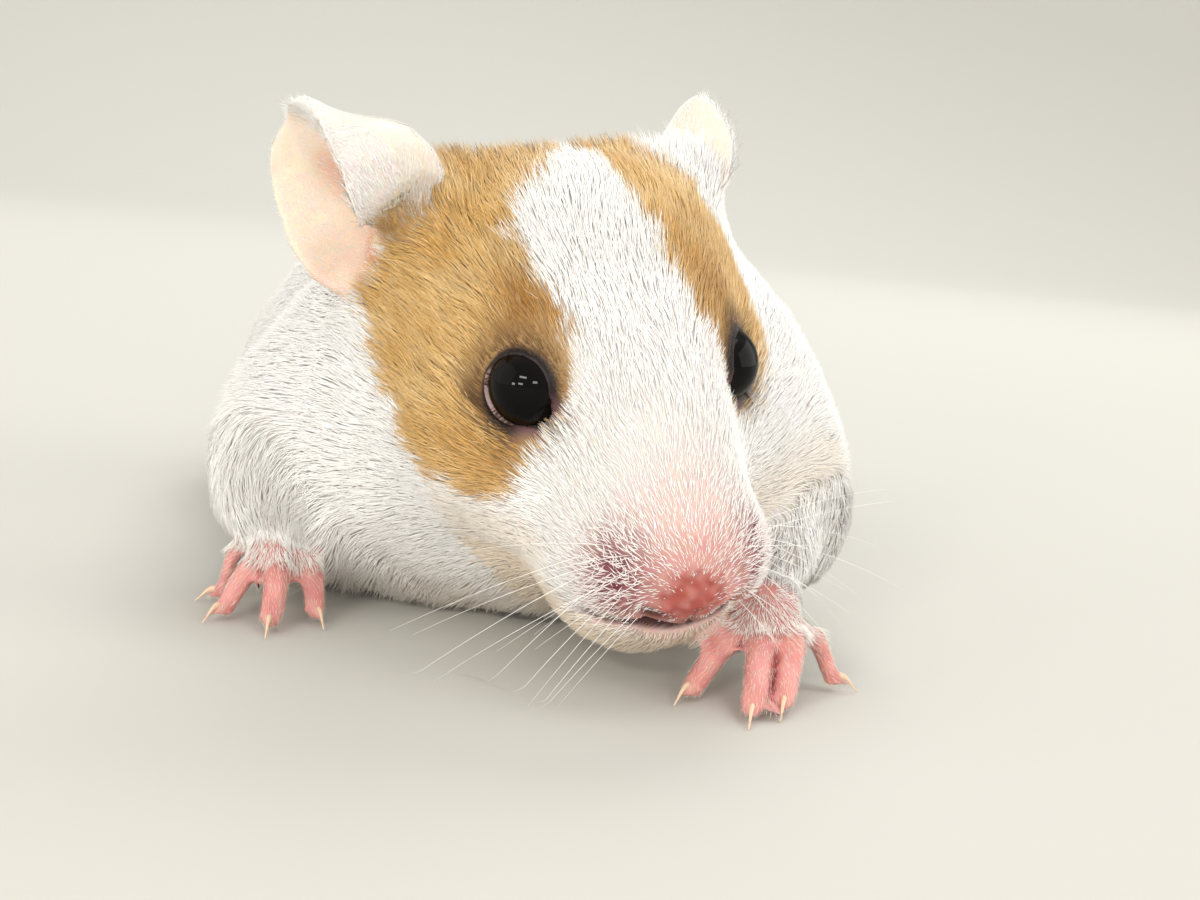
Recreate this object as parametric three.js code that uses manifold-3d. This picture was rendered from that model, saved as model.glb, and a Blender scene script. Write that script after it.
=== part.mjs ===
// A young Syrian hamster at life size, crouching with its belly on the floor, its head low and turned
// a little to its left. Millimetres, +Z up, the animal faces -Y and its left side is +X.
// The outline is that of the coat. The body is one smooth form, parted by thin cuts.
import * as THREE from "three";
import { mergeVertices } from "three/addons/utils/BufferGeometryUtils.js";
import Module from "manifold-3d";

// ---- driving dimensions ----
const cutGap = 0.3; // between neighbouring pieces
const blend = { head: 1.4, body: 2.6, neck: 2.0 }; // how softly one mass runs into the next
const eyeHeight = 23; // middle of the two eyes above the floor
const headTurn = { pitch: 22.2, roll: -10, yaw: 17.3 }; // degrees: nose down, right cheek down, to the left
const toOrigin = new THREE.Vector3(3.48, -37.4, 0); // from under the eyes to the middle of the footprint

const eye = { radius: 3.0, side: 7.4, back: -1.3, up: 0 };
const ear = { length: 15.4, root: 3.2, half: 7.8, lower: 0.84, upper: 0.9, wall: 0.95 };
// How each ear is held, in the head's frame: its root, the way it stands and the way it opens,
// how far its front wall folds over at the root, in degrees, and how much wider that wall is there.
const earPoses = {
  left: {
    root: [12.0, 17.4, 2.2],
    up: [0.38, 0.82, 0.38],
    open: [0.93, -0.3, 0.12],
    fold: 12,
    brim: 0.12,
  },
  right: {
    root: [-13.5, 16.8, 4.0],
    up: [-0.43, 0.8, 0.42],
    open: [-0.95, -0.22, 0.12],
    fold: 60,
    brim: 0.78,
  },
};
const coat = {
  fur: [0.96, 0.94, 0.9],
  gold: [0.72, 0.52, 0.26],
  skin: [0.86, 0.6, 0.56],
  eye: [0.01, 0.008, 0.01],
};

const v3 = (x, y, z) => new THREE.Vector3(x, y, z);
const degrees = THREE.MathUtils.degToRad;
const { lerp, clamp, smoothstep } = THREE.MathUtils;
const mirrored = [1, -1]; // left, right

// ---- the head's own frame: origin between the eyes, nose towards -Y, skull level ----
const headFrame = new THREE.Matrix4().compose(
  v3(0, 0, eyeHeight),
  new THREE.Quaternion().setFromEuler(
    new THREE.Euler(degrees(headTurn.pitch), degrees(headTurn.roll), degrees(headTurn.yaw), "ZXY"),
  ),
  v3(1, 1, 1),
);
const toHead = headFrame.clone().invert();
const onHead = (x, y, z) => v3(x, y, z).applyMatrix4(headFrame);
const headDirection = (x, y, z) => v3(x, y, z).transformDirection(headFrame);

// ---- the masses that make up the form: centre and half sizes ----
const pair = (x, y, z, rx, ry, rz) =>
  mirrored.map((s) => ({ at: v3(s * x, y, z), r: v3(rx, ry, rz) }));
const one = (x, y, z, rx, ry, rz) => [{ at: v3(x, y, z), r: v3(rx, ry, rz) }];

const headMasses = [
  ...one(0, 9.8, 1.0, 12.0, 12.0, 10.6), // cranium
  ...one(0, -2.5, -2.6, 6.8, 10.0, 7.2), // forehead and bridge
  ...one(0, -9.3, -7.6, 5.0, 6.6, 4.8), // muzzle
  ...pair(3.4, -6.2, -9.4, 4.2, 6.4, 5.0), // lips
  ...pair(3.3, -12.0, -9.0, 3.0, 3.3, 3.0), // whisker pads
  ...one(0, -15.0, -8.6, 1.6, 1.3, 1.4), // nose
  ...one(0, -7.0, -14.4, 6.2, 6.6, 4.4), // chin and jaw
  ...pair(8.4, 5.0, -6.8, 6.3, 9.2, 7.0), // cheeks
  ...one(0, 4.0, -9.0, 10.0, 9.5, 6.6), // throat
  ...pair(6.3, 0.6, 3.0, 2.2, 4.0, 1.8), // brows
  ...pair(9.2, 14.6, 5.0, 3.8, 5.0, 5.2), // roots of the ears
];
const bodyMasses = [
  ...one(-4.0, 18.0, 22.6, 14.0, 14.0, 13.2), // nape
  ...one(-3.2, 16.0, 12.0, 15.0, 11.0, 11.0), // breast
  ...one(5.0, 18.0, 17.0, 15.6, 12.0, 14.6), // left side of the neck
  ...one(-10.5, 20.0, 15.5, 14.5, 12.0, 13.5), // right side of the neck
  ...one(-3.6, 29.0, 15.5, 19.5, 20.0, 17.6), // shoulders
  ...one(-3.6, 46.0, 16.5, 22.5, 24.0, 19.6), // loins
  ...one(-3.6, 58.0, 14.5, 21.0, 21.0, 17.6), // rump
  ...one(-3.6, 44.0, 9.5, 24.0, 30.0, 10.0), // belly
  ...one(-20.2, 59.0, 10.8, 9.2, 15.5, 11.0), // right haunch
  ...one(13.0, 59.0, 10.8, 9.2, 15.5, 11.0), // left haunch
  ...one(-23.0, 19.0, 10.0, 7.2, 9.5, 8.6), // right upper arm
  ...one(16.4, 14.0, 11.0, 6.8, 9.0, 8.2), // left upper arm
];

function ellipsoidDistance(p, mass) {
  const q = p.clone().sub(mass.at).divide(mass.r);
  const k0 = q.length();
  const k1 = q.divide(mass.r).length();
  return k1 > 1e-9 ? (k0 * (k0 - 1)) / k1 : -Math.min(mass.r.x, mass.r.y, mass.r.z);
}

const softUnion = (distances, softness) =>
  -softness * Math.log(distances.reduce((sum, d) => sum + Math.exp(-d / softness), 0));

// Below 0 inside the animal: a soft union of all masses, about a distance in mm.
function field(p) {
  const inHead = p.clone().applyMatrix4(toHead);
  const head = headMasses.map((mass) => ellipsoidDistance(inHead, mass));
  const body = bodyMasses.map((mass) => ellipsoidDistance(p, mass));
  return softUnion([softUnion(head, blend.head), softUnion(body, blend.body)], blend.neck);
}

// The first point outwards from start where the form ends.
function surfaceFrom(start, direction) {
  const stride = 0.8;
  const at = (t) => start.clone().addScaledVector(direction, t);
  let far = stride;
  while (far < 60 && field(at(far)) < 0) far += stride;
  let near = far - stride;
  for (let i = 0; i < 18; i++) {
    const middle = (near + far) / 2;
    if (field(at(middle)) < 0) near = middle;
    else far = middle;
  }
  return at(near);
}

// ---- closed solids over rings of points ----
function skinOver(rings, startApex, endApex) {
  const sides = rings[0].length;
  const points = [startApex, ...rings.flat(), endApex];
  const index = [];
  const last = points.length - 1;
  const at = (ring, k) => 1 + ring * sides + (k % sides);
  for (let k = 0; k < sides; k++) {
    index.push(0, at(0, k + 1), at(0, k));
    index.push(last, at(rings.length - 1, k), at(rings.length - 1, k + 1));
  }
  for (let r = 0; r + 1 < rings.length; r++)
    for (let k = 0; k < sides; k++) {
      index.push(at(r, k), at(r, k + 1), at(r + 1, k));
      index.push(at(r, k + 1), at(r + 1, k + 1), at(r + 1, k));
    }
  return new THREE.BufferGeometry().setFromPoints(points).setIndex(index);
}

function centreOf(ring) {
  return ring.reduce((sum, p) => sum.add(p), v3(0, 0, 0)).divideScalar(ring.length);
}

// A bent tapering limb with round ends: stops are [x, y, z, half width, half thickness].
function limb(stops, sides, steps, sideways = v3(1, 0, 0), capSteps = 2) {
  const path = new THREE.CatmullRomCurve3(stops.map(([x, y, z]) => v3(x, y, z)));
  const sizeAt = (t, column) => {
    const s = t * (stops.length - 1);
    const i = Math.min(Math.floor(s), stops.length - 2);
    return lerp(stops[i][column], stops[i + 1][column], s - i);
  };
  const rings = [];
  const addRing = (t, shrink, shift) => {
    const along = path.getTangent(t);
    const across = sideways.clone().addScaledVector(along, -sideways.dot(along)).normalize();
    const up = across.clone().cross(along);
    const middle = path.getPoint(t).addScaledVector(along, shift);
    const [a, b] = [sizeAt(t, 3) * shrink, sizeAt(t, 4) * shrink];
    rings.push(
      Array.from({ length: sides }, (_, k) => {
        const turn = (2 * Math.PI * k) / sides;
        return middle
          .clone()
          .addScaledVector(across, a * Math.cos(turn))
          .addScaledVector(up, b * Math.sin(turn));
      }),
    );
  };
  for (let c = 1; c <= capSteps; c++) {
    const turn = ((Math.PI / 2) * c) / (capSteps + 1);
    addRing(0, Math.sin(turn), -Math.cos(turn) * sizeAt(0, 4));
  }
  for (let i = 0; i <= steps; i++) addRing(i / steps, 1, 0);
  for (let c = capSteps; c >= 1; c--) {
    const turn = ((Math.PI / 2) * c) / (capSteps + 1);
    addRing(1, Math.sin(turn), Math.cos(turn) * sizeAt(1, 4));
  }
  const start = path.getPoint(0).addScaledVector(path.getTangent(0), -sizeAt(0, 4));
  const end = path.getPoint(1).addScaledVector(path.getTangent(1), sizeAt(1, 4));
  return skinOver(rings, start, end);
}

// ---- joining and cutting ----
const wasm = await Module();
wasm.setup();

function solidFrom(geometry) {
  const bare = geometry.clone();
  bare.deleteAttribute("normal");
  bare.deleteAttribute("uv");
  const merged = mergeVertices(bare, 1e-4);
  const made = new wasm.Manifold(
    new wasm.Mesh({
      numProp: 3,
      vertProperties: new Float32Array(merged.attributes.position.array),
      triVerts: new Uint32Array(merged.index.array),
    }),
  );
  if (made.volume() > 0) return made;
  const turned = merged.index.array;
  for (let i = 0; i < turned.length; i += 3)
    [turned[i + 1], turned[i + 2]] = [turned[i + 2], turned[i + 1]];
  return new wasm.Manifold(
    new wasm.Mesh({
      numProp: 3,
      vertProperties: new Float32Array(merged.attributes.position.array),
      triVerts: new Uint32Array(turned),
    }),
  );
}

function geometryFrom(solid) {
  const mesh = solid.getMesh();
  const geometry = new THREE.BufferGeometry()
    .setAttribute("position", new THREE.BufferAttribute(mesh.vertProperties, 3))
    .setIndex(new THREE.BufferAttribute(mesh.triVerts, 1));
  geometry.computeVertexNormals();
  return geometry;
}

const join = (solids) => solids.reduce((all, next) => all.add(next));
const biggest = (solid) =>
  solid.decompose().reduce((best, next) => (next.volume() > best.volume() ? next : best));

// The same solid a little larger about its middle, to cut a thin gap round it.
const grownAbout = (solid, factor) => {
  const { min, max } = solid.boundingBox();
  const middle = min.map((low, i) => (low + max[i]) / 2);
  return solid
    .translate(middle.map((m) => -m))
    .scale(factor)
    .translate(middle);
};

// An egg-shaped cutter, grown by a margin all round.
function egg(at, r, grow = 0, frame = new THREE.Matrix4(), detail = [14, 9]) {
  const shape = new THREE.SphereGeometry(1, ...detail);
  shape.scale(r.x + grow, r.y + grow, r.z + grow).translate(at.x, at.y, at.z);
  return solidFrom(shape.applyMatrix4(frame));
}

// Everything under the floor, to leave a flat where the animal touches it.
function underFloor() {
  const depth = 20;
  return solidFrom(new THREE.BoxGeometry(200, 300, depth).translate(0, 40, -depth / 2));
}

// ---- the whole body: rings across a line from the nose to the rump ----
const midline = new THREE.CatmullRomCurve3(
  [
    onHead(0, -16.6, -8.7),
    onHead(0, -10, -8.6),
    onHead(0, -3, -6.4),
    v3(-0.5, 8, 17),
    v3(-2.5, 17, 17.5),
    v3(-3.6, 30, 17),
    v3(-3.6, 50, 15),
    v3(-3.6, 68, 14.5),
    v3(-3.6, 80.5, 13.5),
  ],
  false,
  "centripetal",
);
const sidesRound = 32;
const headQuaternion = new THREE.Quaternion().setFromRotationMatrix(headFrame);

// The rings turn little by little from the head's frame to that of the body.
function ringFrame(share) {
  const turn = headQuaternion
    .clone()
    .slerp(new THREE.Quaternion(), smoothstep(share, 0.08, 0.4));
  return [v3(1, 0, 0), v3(0, 1, 0), v3(0, 0, 1)].map((axis) => axis.applyQuaternion(turn));
}

function ringAcross(share) {
  const middle = midline.getPointAt(share);
  const [side, , up] = ringFrame(share);
  return Array.from({ length: sidesRound }, (_, k) => {
    const turn = (2 * Math.PI * k) / sidesRound;
    const out = side
      .clone()
      .multiplyScalar(Math.cos(turn))
      .addScaledVector(up, Math.sin(turn));
    return surfaceFrom(middle, out);
  });
}

// Evenly spaced values, and values that crowd towards the last one as rings do round an egg's end.
const even = (from, to, count) =>
  Array.from({ length: count }, (_, i) => lerp(from, to, i / count));
const crowded = (from, to, count) =>
  Array.from({ length: count }, (_, i) =>
    lerp(from, to, Math.sin(((Math.PI / 2) * i) / count)),
  );

const stations = [
  ...crowded(0.045, 0, 4).reverse(),
  ...even(0.058, 0.3, 16),
  ...even(0.3, 0.86, 13),
  ...crowded(0.86, 1, 5),
];
const tipOf = (share, way) =>
  surfaceFrom(midline.getPointAt(share), ringFrame(share)[1].multiplyScalar(way));
const body = solidFrom(skinOver(stations.map(ringAcross), tipOf(0, -1), tipOf(1, 1)));

// Flat cuts, each a point and the way to the rump, leave a thin gap.
const headCut = { at: v3(-2, 14, 22), way: v3(-0.2, 1, -0.2).normalize() };
const neckCut = { at: v3(-3, 23.5, 20), way: v3(-0.1, 1, -0.25).normalize() };
const before = (solid, { at, way }) =>
  solid.trimByPlane(way.clone().negate().toArray(), -at.dot(way) + cutGap / 2);
const behind = (solid, { at, way }) => solid.trimByPlane(way.toArray(), at.dot(way) + cutGap / 2);
const headWhole = before(body, headCut);
const neck = behind(before(body, neckCut), headCut);
const trunkWhole = behind(body, neckCut);

const bodyRoom = grownAbout(body, 1.008);

// ---- eyes ----
const eyeCentre = (s) => v3(s * eye.side, eye.back, eye.up);
const ball = (s, grow) =>
  egg(eyeCentre(s), v3(eye.radius, eye.radius, eye.radius), grow, headFrame, [14, 10]);
const eyes = mirrored.map((s) => ball(s, 0));
const sockets = join(mirrored.map((s) => ball(s, cutGap)));

// ---- nose and lower jaw, parted from the head ----
const noseCentre = v3(0, -16.2, -8.6);
const noseSize = v3(2.7, 2.6, 2.3);
const jawCut = { front: v3(0, -17, -12.6), back: v3(0, 3, -11.4) };
const jawReach = { at: v3(0, -8.5, -14.5), r: v3(8.5, 10.5, 12) };

// The jaw's share of the head: what is below the mouth's line and near the chin, less a margin.
function belowMouth(lower) {
  const reach = 40;
  const slope = Math.atan2(jawCut.back.z - jawCut.front.z, jawCut.back.y - jawCut.front.y);
  const slab = new THREE.BoxGeometry(reach, reach, reach)
    .translate(0, -reach / 2, -reach / 2)
    .rotateX(slope)
    .translate(0, jawCut.back.y, jawCut.back.z - lower);
  const chin = egg(jawReach.at, jawReach.r, cutGap - lower, headFrame);
  return solidFrom(slab.applyMatrix4(headFrame)).intersect(chin);
}
const nose = headWhole.intersect(egg(noseCentre, noseSize, 0, headFrame));
const headNoNose = headWhole
  .subtract(egg(noseCentre, noseSize, cutGap, headFrame))
  .subtract(sockets);
const lowerJaw = biggest(headNoNose.intersect(belowMouth(cutGap)));
const head = biggest(headNoNose.subtract(belowMouth(0)));

// ---- ears: a cup on a stalk, open to the side and a little forwards, its front wall folded over ----
function earShape(s, pose) {
  const up = v3(...pose.up).normalize();
  const open = v3(...pose.open);
  open.addScaledVector(up, -open.dot(up)).normalize();
  const down = up.clone().cross(open).multiplyScalar(s);
  const root = v3(...pose.root);
  const arcSteps = 8;
  const heights = [0, 0.1, 0.22, 0.34, 0.46, 0.58, 0.7, 0.81, 0.9, 0.96];
  const rings = heights.map((h) => {
    const half = ear.half * Math.sqrt(Math.max(1 - Math.pow(Math.abs(h - 0.42) / 0.58, 2.3), 0.05));
    const spread = degrees(lerp(82, 46, smoothstep(h, 0.3, 1)));
    const fold = degrees(pose.fold) * Math.pow(1 - h, 1.5);
    const brim = lerp(1 + pose.brim, ear.upper, smoothstep(h, 0, 0.75));
    const radius = half / Math.sin(spread);
    const chord = radius * Math.cos(spread);
    const filled = 1 - smoothstep(h, 0.08, 0.34);
    const wallHere = Math.min(ear.wall, half * 0.8);
    const middle = root.clone().addScaledVector(up, h * ear.length - ear.root);
    const centre = (radius - chord) / 2;
    const outer = [];
    const inner = [];
    for (let i = 0; i <= arcSteps; i++) {
      const turn = lerp(-spread - fold, spread, i / arcSteps);
      const reach = Math.sin(turn) * (turn < 0 ? brim : ear.lower);
      const place = (n, w) => middle.clone().addScaledVector(open, n).addScaledVector(down, w);
      outer.push(place(centre + chord - radius * Math.cos(turn), radius * reach));
      const thin = radius - wallHere;
      const deep = thin * Math.cos(turn) - chord;
      const inside = deep > 0 ? lerp(deep, deep * 0.1, filled) : deep;
      inner.push(place(centre - inside, radius * reach - wallHere * Math.sin(turn)));
    }
    return [...outer, ...inner.reverse()];
  });
  const tip = root.clone().addScaledVector(up, ear.length - ear.root);
  return solidFrom(skinOver(rings, centreOf(rings[0]), tip).applyMatrix4(headFrame));
}
const ears = [earShape(1, earPoses.left), earShape(-1, earPoses.right)].map((shape) =>
  biggest(shape.subtract(bodyRoom)),
);

// ---- feet: palm, toes and claws ----
const claw = { length: 1.3, root: 0.45, tip: 0.27 };

// A toe comes down from its knuckle and lies flat at its tip; a claw goes on from there.
// Its fall is the share of the way down that it has come half way along.
function toe({ knuckle, heading, length, width, fall = 0.5 }) {
  const way = v3(Math.sin(degrees(heading)), -Math.cos(degrees(heading)), 0);
  const across = v3(-way.y, way.x, 0);
  const tipHeight = width * 0.82;
  const stop = (out, z, half) => {
    const p = knuckle.clone().addScaledVector(way, out);
    return [p.x, p.y, z, half, half * 0.95];
  };
  const stops = [
    stop(0, knuckle.z, width),
    stop(length * 0.5, lerp(knuckle.z, tipHeight, fall), width * 0.97),
    stop(length, tipHeight, width * 0.9),
    stop(length + width * 0.7, width * 0.8, claw.root),
    stop(length + width * 0.7 + claw.length, claw.tip, claw.tip),
  ];
  return solidFrom(limb(stops, 6, stops.length - 1, across, 1));
}

const foot = (palmStops, toes) =>
  join([solidFrom(limb(palmStops, 10, 3, v3(1, 0, 0), 1)), ...toes.map((made) => toe(made))]);

function forefoot(wrist, palm, toes) {
  const half = wrist.clone().lerp(palm, 0.55);
  const stops = [
    [wrist.x, wrist.y, wrist.z, 2.1, 1.9],
    [half.x, half.y, half.z, 2.7, 1.9],
    [palm.x, palm.y, palm.z, 2.8, 1.4],
  ];
  return foot(stops, toes);
}

const forefootRight = forefoot(v3(-23.5, 14.0, 8.2), v3(-23.4, 9.8, 4.8), [
  { knuckle: v3(-26.2, 11.8, 5.0), heading: -88, length: 1.7, width: 0.95, fall: 0.1 },
  { knuckle: v3(-25.2, 9.2, 4.4), heading: -46, length: 3.0, width: 1.1, fall: 0.4 },
  { knuckle: v3(-23.3, 8.2, 4.5), heading: -7, length: 3.7, width: 1.15, fall: 0.4 },
  { knuckle: v3(-21.1, 9.4, 4.4), heading: 20, length: 2.0, width: 1.1, fall: 0.4 },
]);
const forefootLeft = forefoot(v3(14.0, 1.4, 8.4), v3(12.5, -3.0, 4.8), [
  { knuckle: v3(10.2, -3.4, 4.3), heading: -47, length: 5.1, width: 1.15, fall: 0.4 },
  { knuckle: v3(11.75, -4.8, 4.6), heading: -17, length: 6.1, width: 1.1, fall: 0.4 },
  { knuckle: v3(14.45, -4.3, 4.7), heading: -20, length: 4.7, width: 1.15, fall: 0.4 },
  { knuckle: v3(15.2, -2.4, 4.5), heading: 84, length: 3.1, width: 1.05, fall: 0.12 },
]);

const bodyMiddle = -3.6; // the body's own mid-plane, in x
function hindfoot(s) {
  const x = (side) => bodyMiddle + s * side;
  const stops = [
    [x(16.5), 64, 2.4, 1.9, 2.0],
    [x(18.4), 57, 2.1, 2.4, 1.8],
    [x(20.4), 50.5, 1.9, 2.9, 1.5],
  ];
  const toes = [-14, 1, 13, 26, 44].map((heading, i) => ({
    knuckle: v3(x(20.6 + (i - 2) * 1.25), 49.2 + Math.abs(i - 2) * 0.9, 1.6),
    heading: s * heading,
    length: 4.4 - Math.abs(i - 2) * 0.5,
    width: 0.9,
  }));
  return foot(stops, toes);
}
const hindfeet = mirrored.map(hindfoot);

// ---- legs: haunch and upper arm are parted from the trunk by egg-shaped cuts ----
const legCuts = {
  foreleg_left: { at: v3(18.5, 11.5, 7.4), r: v3(9.0, 11.5, 8.8) },
  foreleg_right: { at: v3(-25.5, 16.5, 7.5), r: v3(8.5, 11.5, 9.0) },
  hindleg_left: { at: v3(19.5, 61, 8.5), r: v3(10.0, 16.0, 13.5) },
  hindleg_right: { at: v3(-26.7, 61, 8.5), r: v3(10.0, 16.0, 13.5) },
};
const forearms = {
  foreleg_left: [
    [16.0, 9.5, 10.2, 4.2, 4.2],
    [15.3, 5.4, 9.8, 3.9, 3.7],
    [14.3, 1.7, 8.7, 3.0, 2.7],
  ],
  foreleg_right: [
    [-22.6, 19.5, 9.4, 3.9, 3.9],
    [-23.1, 16.6, 9.0, 3.8, 3.6],
    [-23.5, 14.0, 8.4, 3.0, 2.7],
  ],
};
const armShape = (name, grow) =>
  solidFrom(
    limb(
      forearms[name].map(([x, y, z, a, b]) => [x, y, z, a + grow, b + grow]),
      12,
      4,
    ),
  );
const floor = underFloor();

const feet = {
  forefoot_left: forefootLeft,
  forefoot_right: forefootRight,
  hindfoot_left: hindfeet[0],
  hindfoot_right: hindfeet[1],
};

function legShape(name) {
  const { at, r } = legCuts[name];
  const chunk = body.intersect(egg(at, r));
  return forearms[name] ? chunk.add(armShape(name, 0)) : chunk;
}
const legs = Object.keys(legCuts).map((name) => [
  name,
  biggest(legShape(name).subtract(floor)),
]);
const armRoom = join(Object.keys(forearms).map((name) => armShape(name, cutGap)));
const legRoom = join(Object.values(legCuts).map(({ at, r }) => egg(at, r, cutGap))).add(armRoom);
const clearOfLegs = (solid) => biggest(solid.subtract(legRoom).subtract(floor));
const clearOfBody = (solid) => biggest(solid.subtract(armRoom).subtract(bodyRoom).subtract(floor));

// ---- tail ----
const tailSolid = solidFrom(
  limb(
    [
      [-3.6, 79.0, 8.4, 2.7, 2.6],
      [-3.5, 83.0, 7.4, 1.9, 1.9],
      [-3.2, 86.5, 7.0, 1.2, 1.2],
    ],
    10,
    6,
  ),
);
const tail = biggest(tailSolid.subtract(grownAbout(trunkWhole, 1.012)));

// ---- the finished group ----
const material = (name, colour, roughness) =>
  Object.assign(
    new THREE.MeshStandardMaterial({ color: new THREE.Color(...colour), roughness, metalness: 0 }),
    { name },
  );
const furWhite = material("fur_white", coat.fur, 0.9);
const furGold = material("fur_gold", coat.gold, 0.9);
const bareSkin = material("bare_skin", coat.skin, 0.55);
const eyeBlack = material("eye_black", coat.eye, 0.05);

const hamster = new THREE.Group();
hamster.name = "hamster";
hamster.position.copy(toOrigin);
function place(name, solid, finish) {
  const mesh = new THREE.Mesh(geometryFrom(solid), finish);
  mesh.name = name;
  hamster.add(mesh);
}
place("head", clearOfLegs(head), furGold);
place("lower_jaw", clearOfLegs(lowerJaw), furWhite);
place("nose", nose, bareSkin);
["left", "right"].forEach((side, i) => {
  place("eye_" + side, eyes[i], eyeBlack);
  place("ear_" + side, ears[i], bareSkin);
});
place("neck", clearOfLegs(neck), furWhite);
place("trunk", clearOfLegs(trunkWhole), furWhite);
place("tail", tail, bareSkin);
for (const [name, solid] of legs) place(name, solid, furWhite);
for (const [name, solid] of Object.entries(feet)) place(name, clearOfBody(solid), bareSkin);

export default hamster;
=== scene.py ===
# A young Syrian hamster: one skin over the solids' flesh, a coat of solid tufts, eyes, claws and whiskers.
# Shapes are worked out in millimetres and brought to metres when a piece is finished.
import math

import bmesh
import bpy
import numpy as np
from mathutils import Matrix, Vector
from mathutils.bvhtree import BVHTree
from mathutils.kdtree import KDTree


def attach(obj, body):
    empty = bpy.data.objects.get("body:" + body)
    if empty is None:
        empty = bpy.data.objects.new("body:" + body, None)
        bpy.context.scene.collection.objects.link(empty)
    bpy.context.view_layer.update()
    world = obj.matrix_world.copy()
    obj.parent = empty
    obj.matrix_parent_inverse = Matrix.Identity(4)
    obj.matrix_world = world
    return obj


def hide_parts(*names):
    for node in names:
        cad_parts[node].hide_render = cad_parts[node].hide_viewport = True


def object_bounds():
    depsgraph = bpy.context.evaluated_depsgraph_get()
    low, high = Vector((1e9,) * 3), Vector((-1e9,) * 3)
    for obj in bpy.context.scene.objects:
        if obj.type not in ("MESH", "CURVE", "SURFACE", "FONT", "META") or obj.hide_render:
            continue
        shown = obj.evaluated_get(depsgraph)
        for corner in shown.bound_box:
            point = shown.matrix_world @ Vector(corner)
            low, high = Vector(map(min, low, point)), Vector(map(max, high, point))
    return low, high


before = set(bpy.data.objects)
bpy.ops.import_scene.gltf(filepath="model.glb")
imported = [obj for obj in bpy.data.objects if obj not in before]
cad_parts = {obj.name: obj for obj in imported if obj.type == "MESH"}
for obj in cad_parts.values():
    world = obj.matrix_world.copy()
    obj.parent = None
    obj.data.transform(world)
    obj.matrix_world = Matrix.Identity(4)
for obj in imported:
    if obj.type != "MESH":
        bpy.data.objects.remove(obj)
cadBounds = [list(corner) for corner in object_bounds()]
mm = 0.001
shift = np.array([3.48, -37.4, 0.0])  # from under the eyes to the middle of the footprint, as in the solids
rng = np.random.default_rng(41)
scene = bpy.context.scene

# Camera.
cameraSettings = {
    "place": (-20.9, -114.1, 36.0),  # mm from the point under the eyes
    "azimuth": -10.0,
    "elevation": 9.5,
    "lean": 6.0,  # degrees, turned clockwise
    "lens": 47.88,
    "sensor": 36.0,
    "nearest": 0.005,  # m
}


def outward(azimuth, elevation):
    # The way from the animal to a place round it, in degrees, azimuth 0 in front.
    a, e = math.radians(azimuth), math.radians(elevation)
    return Vector((math.sin(a) * math.cos(e), -math.cos(a) * math.cos(e), math.sin(e)))


def addObject(name, data):
    made = bpy.data.objects.new(name, data)
    scene.collection.objects.link(made)
    return made


def addCamera(settings):
    back = outward(settings["azimuth"], settings["elevation"])
    a, lean = (math.radians(settings[k]) for k in ("azimuth", "lean"))
    level = Vector((math.cos(a), math.sin(a), 0))
    upright = back.cross(level)
    right = level * math.cos(lean) + upright * math.sin(lean)
    up = upright * math.cos(lean) - level * math.sin(lean)
    data = bpy.data.cameras.new("camera")
    data.lens = settings["lens"]
    data.sensor_width = settings["sensor"]
    data.clip_start = settings["nearest"]
    camera = addObject("camera", data)
    turned = Matrix((right, up, back)).transposed().to_4x4()
    camera.matrix_world = Matrix.Translation(Vector(shift + settings["place"]) * mm) @ turned
    scene.camera = camera


addCamera(cameraSettings)
print("camera placed")

# The head's own frame, as in the solids: origin between the eyes, nose towards -Y.
headPose = {"eyeHeight": 23.0, "yaw": 17.3, "pitch": 22.2, "roll": -10.0}
headTurn = (
    Matrix.Rotation(math.radians(headPose["yaw"]), 3, "Z")
    @ Matrix.Rotation(math.radians(headPose["pitch"]), 3, "X")
    @ Matrix.Rotation(math.radians(headPose["roll"]), 3, "Y")
)
headAxes = np.array(headTurn)
headAt = shift + [0, 0, headPose["eyeHeight"]]


def toHead(points):
    return (points - headAt) @ headAxes


def fromHead(points):
    return np.asarray(points) @ headAxes.T + headAt


def ramp(x, low, high):
    t = np.clip((x - low) / (high - low), 0, 1)
    return t * t * (3 - 2 * t)


def lengths(vectors):
    return np.linalg.norm(vectors, axis=1)


def fall(x, low, high):
    return 1 - ramp(x, low, high)


def unit(vectors):
    return vectors / np.maximum(np.linalg.norm(vectors, axis=-1, keepdims=True), 1e-9)


def blob(points, at, size):
    # 1 at a place, falling off smoothly over the size given.
    return np.exp(-(((points - np.array(at)) / size) ** 2).sum(1))


def sided(s, place):
    # A place or a way on the left half of the head, or where s is -1 its mirror image.
    return np.array(place) * [s, 1, 1]


def mirrored(local):
    # Both halves of the head brought to the left one.
    return np.concatenate([np.abs(local[:, :1]), local[:, 1:]], axis=1)


def mix(a, b, share):
    # Blends two tones, each given by name or by value, or two rows of settings.
    a, b = (tones[value] if isinstance(value, str) else np.asarray(value) for value in (a, b))
    share = np.asarray(share)[:, None]
    return a * (1 - share) + b * share


def readAll(items, name, width, kind=float):
    # The named values of every item, one row each.
    out = np.zeros(len(items) * width, kind)
    items.foreach_get(name, out)
    return out.reshape(-1, width)


def meshOf(shape, name):
    mesh = bpy.data.meshes.new(name)
    shape.to_mesh(mesh)
    shape.free()
    return mesh


def addInto(whole, shape):
    part = meshOf(shape, "part")
    whole.from_mesh(part)
    bpy.data.meshes.remove(part)


def ripple(points, scale, seed):
    # A smooth wavy value from -1 to 1, from a few crossed waves.
    out = np.zeros(len(points))
    for k in range(5):
        way = unit(np.array([math.sin(seed + 1.7 * k), math.cos(2.1 * seed + k), math.sin(0.6 * k + 3 * seed)]))
        out += np.sin(points @ way * (2 * math.pi / scale) * (0.7 + 0.23 * k) + seed * (k + 1))
    return out / 3.2


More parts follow.
